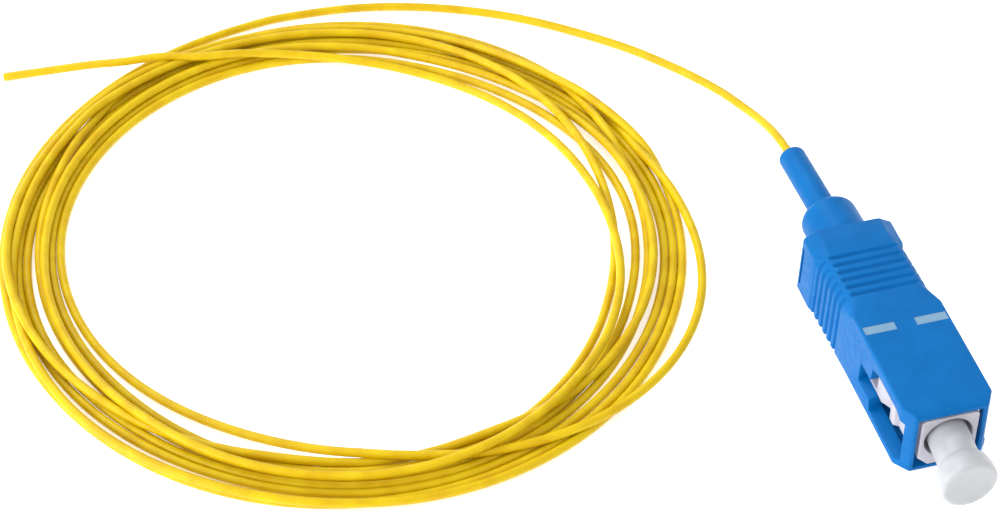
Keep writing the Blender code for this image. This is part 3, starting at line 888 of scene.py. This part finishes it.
def use_tree(item, tree, values):
    """Run a tree on an object with values for its named inputs, and keep the result."""
    modifier = item.modifiers.new(tree.name, "NODES")
    modifier.node_group = tree
    for socket in tree.interface.items_tree:
        if socket.in_out == "INPUT" and socket.name in values:
            modifier[socket.identifier] = values[socket.name]
    apply_modifiers(item)


# %% [markdown]
# ## The grip: its ribs
# Six finger grooves run over the wide faces, and six more up the narrow ones,
# where they notch the edges. They repeat at an even pitch, so one rule finds
# the nearest groove for every point and presses the point in by a soft bell
# shape. A rule keeps the grooves round and the ridges soft, which cutting
# with boxes wouldn't.

# %% The ribs
RIB_INPUTS = {"Last groove": 21.95, "Pitch": 1.055, "Grooves": 6.0, "Half width": 0.32,
              "Depth": 0.26, "Reach across": 3.65, "Reach up": 7.3}
FLAT_PART = 0.2
FADE_ACROSS = 0.3
FADE_UP = 0.4
NARROW_FACE = 4.1


def groove_depth(tree, given, y):
    """How far a point at y is pressed in: a bell around the nearest groove."""
    steps = calculate(tree, "DIVIDE", calculate(tree, "SUBTRACT", given["Last groove"], y), given["Pitch"])
    last = calculate(tree, "SUBTRACT", given["Grooves"], 1)
    not_before = calculate(tree, "MAXIMUM", calculate(tree, "ROUND", steps), 0)
    nearest = calculate(tree, "MINIMUM", not_before, last)
    away = calculate(tree, "ABSOLUTE", calculate(tree, "SUBTRACT", steps, nearest))
    part = calculate(tree, "DIVIDE", calculate(tree, "MULTIPLY", away, given["Pitch"]), given["Half width"])
    return calculate(tree, "MULTIPLY", fade(tree, part, FLAT_PART, 1), given["Depth"])


def face_shares(tree, given, x, z):
    """How far a point belongs to the wide faces, and to the narrow ones, with the way inwards."""
    beside = calculate(tree, "ABSOLUTE", x)
    inner = calculate(tree, "SUBTRACT", given["Reach across"], FADE_ACROSS)
    on_wide_face = fade(tree, beside, inner, given["Reach across"])
    upper = calculate(tree, "SUBTRACT", given["Reach up"], FADE_UP)
    outside = calculate(tree, "SUBTRACT", 1, fade(tree, beside, given["Reach across"], NARROW_FACE))
    on_narrow_face = calculate(tree, "MULTIPLY", fade(tree, z, upper, given["Reach up"]), outside)
    up = calculate(tree, "SIGN", calculate(tree, "SUBTRACT", z, AXIS))
    out = calculate(tree, "SIGN", x)
    return calculate(tree, "MULTIPLY", out, on_narrow_face), calculate(tree, "MULTIPLY", up, on_wide_face)


def rib_tree():
    tree = bpy.data.node_groups.new("finger_ribs", "GeometryNodeTree")
    add_input(tree, "Geometry", "NodeSocketGeometry")
    for name in RIB_INPUTS:
        add_input(tree, name)
    given = tree.nodes.new("NodeGroupInput").outputs
    position = tree.nodes.new("GeometryNodeInputPosition")
    split = tree.nodes.new("ShaderNodeSeparateXYZ")
    tree.links.new(position.outputs[0], split.inputs[0])
    x, y, z = split.outputs
    press = calculate(tree, "MULTIPLY", groove_depth(tree, given, y), -1)
    sideways, upwards = face_shares(tree, given, x, z)
    move = tree.nodes.new("ShaderNodeCombineXYZ")
    tree.links.new(calculate(tree, "MULTIPLY", press, sideways), move.inputs[0])
    tree.links.new(calculate(tree, "MULTIPLY", press, upwards), move.inputs[2])
    place = tree.nodes.new("GeometryNodeSetPosition")
    tree.links.new(given["Geometry"], place.inputs["Geometry"])
    tree.links.new(move.outputs[0], place.inputs["Offset"])
    end_tree(tree, place.outputs["Geometry"], blue)
    return tree


use_tree(grip, rib_tree(), RIB_INPUTS)
print("grip with ribs:", len(grip.data.polygons), "faces")

# %% [markdown]
# ## The grip: its lean
# A moulding leaves its mould more easily when its walls lean a little. This
# shell's side walls are 0.2 mm further out at the floor than at the top, and
# its rear half sits 0.3 mm to one side of its front.

# %% The walls' lean
OUT_AT_FLOOR = 0.18
WALL_LEAN = 0.2
REAR_ASIDE = -0.3
ASIDE_STARTS = 12.5
ASIDE_LENGTH = 10


def lean_walls():
    for vertex in grip.data.vertices:
        x, y, z = vertex.co
        out = (OUT_AT_FLOOR - WALL_LEAN * z / TALL) * x / WIDTH_HALF
        aside = REAR_ASIDE * min(1.0, max(0.0, (y - ASIDE_STARTS) / ASIDE_LENGTH))
        vertex.co.x = x + out * min(1.0, y / NOSE_LENGTH) + aside


lean_walls()
print("widest point after the lean: %.2f" % max(vertex.co.x for vertex in grip.data.vertices))

# %% [markdown]
# ## The grip: its windows
# The plug frame's latch ears show in a stepped window in each narrow face. Its
# cutter is a row of outlines from outside to inside. It is wider outside, so
# the sill slopes as the real one does.

# %% The windows' cutter
CAVITY_HALF = 3.2
WINDOW_HEAD = [(8.38, 4.2), (8.25, 5.75), (6.9, 6.2), (2.5, 6.2), (1.0, 5.6)]
WINDOW_OUTSIDE = [(0.9, 0.72), (7.75, 0.72), (8.05, 1.93), (10.75, 1.88), (10.75, 4.2)] + WINDOW_HEAD
WINDOW_INSIDE = [(1.0, 0.95), (7.9, 0.95), (8.05, 2.35), (10.65, 2.35), (10.65, 4.2)] + WINDOW_HEAD
WINDOW_STATIONS = (5.2, WIDTH_HALF, 3.85, 2.9)


def window_ring(x):
    """The stepped window at one distance from the middle, between its two outlines."""
    part = (WIDTH_HALF - abs(x)) / (WIDTH_HALF - CAVITY_HALF)
    corners = zip(WINDOW_OUTSIDE, WINDOW_INSIDE)
    return [(x, a + (c - a) * part, b + (d - b) * part) for (a, b), (c, d) in corners]


def add_windows(bm):
    for side in (-1, 1):
        add_rings(bm, [window_ring(side * x) for x in WINDOW_STATIONS])


print("window corners:", len(WINDOW_OUTSIDE))

# %% [markdown]
# ## The grip: what is cut out of it
# The moulding is hollow. The plug frame slides in a square cavity that is
# deeper in front, where the frame's foot runs, and the boot sits in a round
# bore behind it. After the cuts the edges of the openings are rounded, and a
# short line is pressed into each side near the back.

# %% Cut the grip
CAVITY_FLOOR = 0.72
CAVITY_ROOF = 6.68
CAVITY_END = 22.2
RECESS_FLOOR = 0.38
RECESS_END = 11.75
BORE_RADIUS = 3.2
BORE_START = 22.0
BORE_END = 27.0
BEFORE_FRONT = -1
OPENING_ROUND = 0.09
SIDE_LINE_ASIDE = 4.7
SIDE_LINE_HALF = 0.15
SIDE_LINE_LOW = (25.42, 1.0)
SIDE_LINE_HIGH = (25.76, 5.6)


def add_side_lines(bm):
    for side in (-1, 1):
        middle = side * SIDE_LINE_ASIDE + REAR_ASIDE
        add_box(bm, (middle - SIDE_LINE_HALF, *SIDE_LINE_LOW), (middle + SIDE_LINE_HALF, *SIDE_LINE_HIGH))


def hollow_grip():
    cavity = bmesh.new()
    add_box(cavity, (-CAVITY_HALF, BEFORE_FRONT, CAVITY_FLOOR), (CAVITY_HALF, CAVITY_END, CAVITY_ROOF))
    cut(grip, "cavity", cavity)
    recess = bmesh.new()
    add_box(recess, (-CAVITY_HALF, BEFORE_FRONT, RECESS_FLOOR), (CAVITY_HALF, RECESS_END, AXIS))
    cut(grip, "recess", recess)
    bore = bmesh.new()
    add_turned(bore, [(BORE_START, BORE_RADIUS), (BORE_END, BORE_RADIUS)])
    cut(grip, "bore", bore)
    windows = bmesh.new()
    add_windows(windows)
    cut(grip, "windows", windows)
    round_edges(grip, OPENING_ROUND)
    lines = bmesh.new()
    add_side_lines(lines)
    cut(grip, "lines", lines)


hollow_grip()
print("grip with its openings:", len(grip.data.polygons), "faces")

# %% [markdown]
# ## The grip: its two pale bars
# Two pale bars are painted on the wide face. They lie in a very shallow
# recess, so the recess is cut and its floor gets a second material.

# %% The pale bars
BAR_FLOOR = TALL - 0.04
BAR_NEAR = 1.01
BAR_FAR = 4.22
BAR_FRONT = 11.18
BAR_BACK = 12.23
SAME_HEIGHT_WITHIN = 0.005
FACING_UP = 0.9


def cut_bars():
    bars = bmesh.new()
    for side in (-1, 1):
        left, right = sorted((side * BAR_NEAR, side * BAR_FAR))
        add_box(bars, (left, BAR_FRONT, BAR_FLOOR), (right, BAR_BACK, TALL + 1))
    cut(grip, "bars", bars)


def is_bar_floor(face):
    level = abs(face.center.z - BAR_FLOOR) < SAME_HEIGHT_WITHIN and face.normal.z > FACING_UP
    return level and BAR_FRONT < face.center.y < BAR_BACK


cut_bars()
bar_floors = [face for face in grip.data.polygons if is_bar_floor(face)]
for face in bar_floors:
    face.material_index = 1
print("painted faces:", len(bar_floors))
finish_piece(grip, "grip", [blue, pale], "grip_housing")

# %% [markdown]
# ## The plug frame
# The white frame inside is what holds the ferrule and latches into an
# adapter. Its front is a flat face with a round mouth, its lower corners are
# cut, and on each side a latch ear stands out into the window, with a thin
# tail behind it. The ears are outlines seen from above, and the bores are one
# profile of distances and radii.

# %% The plug frame's sizes
FRAME_HALF = 2.85
FRAME_TOP = 6.38
FRAME_FRONT = 0.05
FRAME_END = 15.45
FRAME_FLOOR = 1.02
FOOT_END = 11.45
FOOT_FLOOR = 0.46
LOWER_CUT = 1.1
UPPER_CUT = 0.3
FRAME_ROUND = 0.08
EAR = [(2.45, 2.2), (3.45, 2.2), (3.42, 3.5), (3.91, 3.85), (3.9, 4.7), (3.4, 5.45), (3.36, 5.95),
       (3.86, 6.85), (3.84, 8.2), (2.45, 8.2)]
EAR_TAIL = [(2.45, 7.5), (3.8, 7.5), (3.8, 10.2), (2.45, 10.2)]
EAR_PARTS = [(EAR, 2.5, 5.1), (EAR_TAIL, 2.42, 2.66)]
FRAME_BORES = [(-1, 2.4), (6.45, 2.4), (6.45, 1.55), (7.65, 1.55), (7.65, 2.0), (16, 2.0)]
print("plug frame: %.1f long, %.1f wide" % (FRAME_END - FRAME_FRONT, 2 * FRAME_HALF))

# %% [markdown]
# ## The plug frame: its solid
# The frame is a prism, with a foot joined on below it and the ears at its
# sides. The bores are cut out last, so that they pass through all of it, and
# its edges are rounded after that.

# %% Build the plug frame
def frame_outline(low):
    """The frame's section, with its lower corners cut more than its upper ones."""
    right = [(FRAME_HALF - LOWER_CUT, low), (FRAME_HALF, low + LOWER_CUT),
             (FRAME_HALF, FRAME_TOP - UPPER_CUT), (FRAME_HALF - UPPER_CUT, FRAME_TOP)]
    left = [(-x, z) for x, z in right]
    return left[:1] + right + left[:0:-1]


def make_plug_frame():
    bm = bmesh.new()
    add_prism(bm, frame_outline(FRAME_FLOOR), 1, FRAME_FRONT, FRAME_END)
    item = draft("frame", bm)
    foot = bmesh.new()
    add_prism(foot, frame_outline(FOOT_FLOOR), 1, FRAME_FRONT, FOOT_END)
    combine(item, draft("foot", foot), "UNION")
    for side in (-1, 1):
        for outline, low, high in EAR_PARTS:
            ear = bmesh.new()
            add_prism(ear, [(side * x, y) for x, y in outline], 2, low, high)
            combine(item, draft("ear", ear), "UNION")
    bores = bmesh.new()
    add_turned(bores, FRAME_BORES)
    cut(item, "bores", bores)
    round_edges(item, FRAME_ROUND)
    return item


plug_frame = make_plug_frame()
finish_piece(plug_frame, "plug", [white], "plug_frame")

# %% [markdown]
# ## The boot
# The boot is round, so it is turned: a profile of distances and radii swept
# round the axis, up its outside and back through its bore. It is soft and
# leans two degrees towards the coil, so each ring's centre is moved aside a
# little.

# %% The boot
BOOT_LEAN = -0.037
BOOT_START = 23.5
SKIRT_RADIUS = 2.9
SKIRT_ROUND = 0.06
SKIRT_BORE = 2.2
SKIRT_BORE_END = 26.5
DOME_START = 30.66
DOME_LENGTH = 1.2
SLEEVE_START = DOME_START + DOME_LENGTH
SLEEVE_END = BOOT_TIP / MM
SLEEVE_RADIUS = 1.42
TIP_RADIUS = 1.41
TIP_ROUND = 0.4
FIBRE_HOLE = 0.58
HOLE_BEVEL = 0.12
DOME_TURNS = np.linspace(0, math.pi / 2, 13)
TIP_TURNS = np.linspace(0, math.pi / 2, 7)[1:]


def make_boot():
    skirt = [(BOOT_START, SKIRT_RADIUS - SKIRT_ROUND), (BOOT_START + SKIRT_ROUND, SKIRT_RADIUS)]
    dome = [(DOME_START + DOME_LENGTH * math.sin(t),
             SLEEVE_RADIUS + (SKIRT_RADIUS - SLEEVE_RADIUS) * math.cos(t)) for t in DOME_TURNS]
    sleeve = [(SLEEVE_START + 0.12, SLEEVE_RADIUS), (SLEEVE_END - TIP_ROUND, TIP_RADIUS)]
    tip = [(SLEEVE_END - TIP_ROUND + TIP_ROUND * math.sin(t),
            TIP_RADIUS - TIP_ROUND + TIP_ROUND * math.cos(t)) for t in TIP_TURNS]
    mouth = [(SLEEVE_END, FIBRE_HOLE + HOLE_BEVEL), (SLEEVE_END - HOLE_BEVEL, FIBRE_HOLE)]
    inside = [(SKIRT_BORE_END, FIBRE_HOLE), (SKIRT_BORE_END, SKIRT_BORE), (BOOT_START, SKIRT_BORE)]
    bm = bmesh.new()
    add_turned(bm, skirt + dome + sleeve + tip + mouth + inside, BOOT_LEAN, LONG, closed_path=True)
    return draft("strain_relief", bm)


boot = make_boot()
finish_piece(boot, "plug", [blue], "boot")

# %% [markdown]
# ## The dust cap
# The cap is turned too: a tube with a blind bore that grips the ferrule, and a
# head that swells out of it to a soft rim. It sits loose and droops four
# degrees the same way as the boot. Steps of 0.05 to 0.1 mm in its profile
# round the edges.

# %% The dust cap
CAP_LEAN = 0.071
NEAR_CENTRE = 0.2
CAP_BACK = 4.6
CAP_BORE = 1.55
CAP_BORE_END = -3.3
TUBE_RADIUS = 2.0
NECK = -3.4
SWELL_LENGTH = 2.35
SWELL_HEIGHT = 0.8
RIM_START = NECK - SWELL_LENGTH
RIM_LENGTH = 0.4
RIM_ROUND = 0.5
HEAD_TURNS = np.linspace(0.16, math.pi / 2, 14)


def make_cap():
    inside = [(CAP_BORE_END, NEAR_CENTRE), (CAP_BORE_END, CAP_BORE - 0.1), (CAP_BORE_END + 0.1, CAP_BORE),
              (CAP_BACK - 0.05, CAP_BORE), (CAP_BACK, CAP_BORE + 0.07)]
    tube = [(CAP_BACK, TUBE_RADIUS - 0.08), (CAP_BACK - 0.08, TUBE_RADIUS), (NECK + 0.2, TUBE_RADIUS),
            (NECK + 0.1, TUBE_RADIUS + 0.015), (NECK + 0.03, TUBE_RADIUS + 0.055)]
    swell = [(NECK - SWELL_LENGTH * (1 - math.cos(t)), TUBE_RADIUS + SWELL_HEIGHT * math.sin(t))
             for t in HEAD_TURNS]
    rim = [(RIM_START - RIM_LENGTH * math.sin(t),
            TUBE_RADIUS + SWELL_HEIGHT - RIM_ROUND + RIM_ROUND * math.cos(t)) for t in HEAD_TURNS[1::2]]
    face = [(RIM_START - RIM_LENGTH + 0.01, 1.5), (RIM_START - RIM_LENGTH + 0.05, NEAR_CENTRE)]
    bm = bmesh.new()
    add_turned(bm, inside + tube + swell + rim + face, CAP_LEAN)
    return draft("cap", bm)


dust_cap = make_cap()
finish_piece(dust_cap, "cap", [frosted], "dust_cap")

# %% [markdown]
# ## The spring
# A spring is a wire along a path that follows a rule, so Geometry Nodes draws
# it: a spiral curve, a small circle swept along it, and caps on both ends.

# %% The spring
SPRING_INPUTS = {"Turns": 5.0, "Mean radius": 1.35, "Length": 3.64, "Wire radius": 0.18, "Start": 10.43}
POINTS_A_TURN = 32
WIRE_SIDES = 12


def spring_tree():
    tree = bpy.data.node_groups.new("wire_spring", "GeometryNodeTree")
    for name in SPRING_INPUTS:
        add_input(tree, name)
    given = tree.nodes.new("NodeGroupInput").outputs
    spiral = tree.nodes.new("GeometryNodeCurveSpiral")
    spiral.inputs["Resolution"].default_value = POINTS_A_TURN
    for name, source in (("Rotations", "Turns"), ("Start Radius", "Mean radius"),
                         ("End Radius", "Mean radius"), ("Height", "Length")):
        tree.links.new(given[source], spiral.inputs[name])
    wire = tree.nodes.new("GeometryNodeCurvePrimitiveCircle")
    wire.inputs["Resolution"].default_value = WIRE_SIDES
    tree.links.new(given["Wire radius"], wire.inputs["Radius"])
    sweep = tree.nodes.new("GeometryNodeCurveToMesh")
    sweep.inputs["Fill Caps"].default_value = True
    tree.links.new(spiral.outputs[0], sweep.inputs["Curve"])
    tree.links.new(wire.outputs[0], sweep.inputs["Profile Curve"])
    turn = tree.nodes.new("GeometryNodeTransform")
    turn.inputs["Rotation"].default_value = (-math.pi / 2, 0, 0)
    middle = tree.nodes.new("ShaderNodeCombineXYZ")
    middle.inputs["Z"].default_value = AXIS
    tree.links.new(given["Start"], middle.inputs["Y"])
    tree.links.new(middle.outputs[0], turn.inputs["Translation"])
    tree.links.new(sweep.outputs["Mesh"], turn.inputs["Geometry"])
    end_tree(tree, turn.outputs["Geometry"], steel)
    return tree


spring = draft("spring", bmesh.new())
use_tree(spring, spring_tree(), SPRING_INPUTS)
finish_piece(spring, "contact", [steel], "ferrule_spring")

# %% [markdown]
# ## The pieces that keep their shape
# The ferrule and the rear body are already right in the frame, so their
# meshes stay as they are and only get a real finish.

# %% Finish the kept pieces
for name, finish in (("ferrule", ceramic), ("rear_body", white)):
    kept = bpy.data.objects[name]
    for place in kept.material_slots:
        place.material = finish
    print(name, "keeps its mesh and is now", finish.name)

# %% [markdown]
# ## Floor and light
# The object lies on a light table, a white floor that glows a little, so that
# hardly any shadow shows. A large soft lamp stands low on the left, which is
# why the grip's narrow side is brighter than its top. A smaller one stands
# high behind the object, and draws the pale streak along the dust cap.

# %% Floor and light
FLOOR_SIZE = 4
FLOOR_WHITE = 0.93
FLOOR_GLOW = 0.45


def add_floor():
    bpy.ops.mesh.primitive_plane_add(size=FLOOR_SIZE, location=(VIEW_TARGET.x, VIEW_TARGET.y, 0))
    floor = bpy.context.object
    floor.name = "floor"
    material = bpy.data.materials.new("white_floor")
    material.use_nodes = True
    shader = material.node_tree.nodes["Principled BSDF"]
    shader.inputs["Base Color"].default_value = (FLOOR_WHITE, FLOOR_WHITE, FLOOR_WHITE, 1)
    shader.inputs["Roughness"].default_value = 0.9
    shader.inputs["Emission Color"].default_value = (1, 1, 1, 1)
    shader.inputs["Emission Strength"].default_value = FLOOR_GLOW
    floor.data.materials.append(material)


def add_softbox(name, place, size, power):
    data = bpy.data.lights.new(name, "AREA")
    data.shape = "DISK"
    data.size = size
    data.energy = power
    lamp = bpy.data.objects.new(name, data)
    bpy.context.scene.collection.objects.link(lamp)
    lamp.location = VIEW_TARGET + Vector(place)
    lamp.rotation_euler = (-Vector(place)).to_track_quat("-Z", "Y").to_euler()


add_floor()
world = bpy.data.worlds.new("studio")
world.use_nodes = True
world.node_tree.nodes["Background"].inputs["Color"].default_value = (1, 1, 1, 1)
world.node_tree.nodes["Background"].inputs["Strength"].default_value = 1.0
bpy.context.scene.world = world
bpy.context.scene.view_settings.view_transform = "Standard"
add_softbox("key", (-0.65, -0.15, 0.25), 0.6, 4.7)
add_softbox("high", (-0.16, 0.4, 0.5), 0.22, 1.25)
print("lamps:", len(bpy.data.lights))
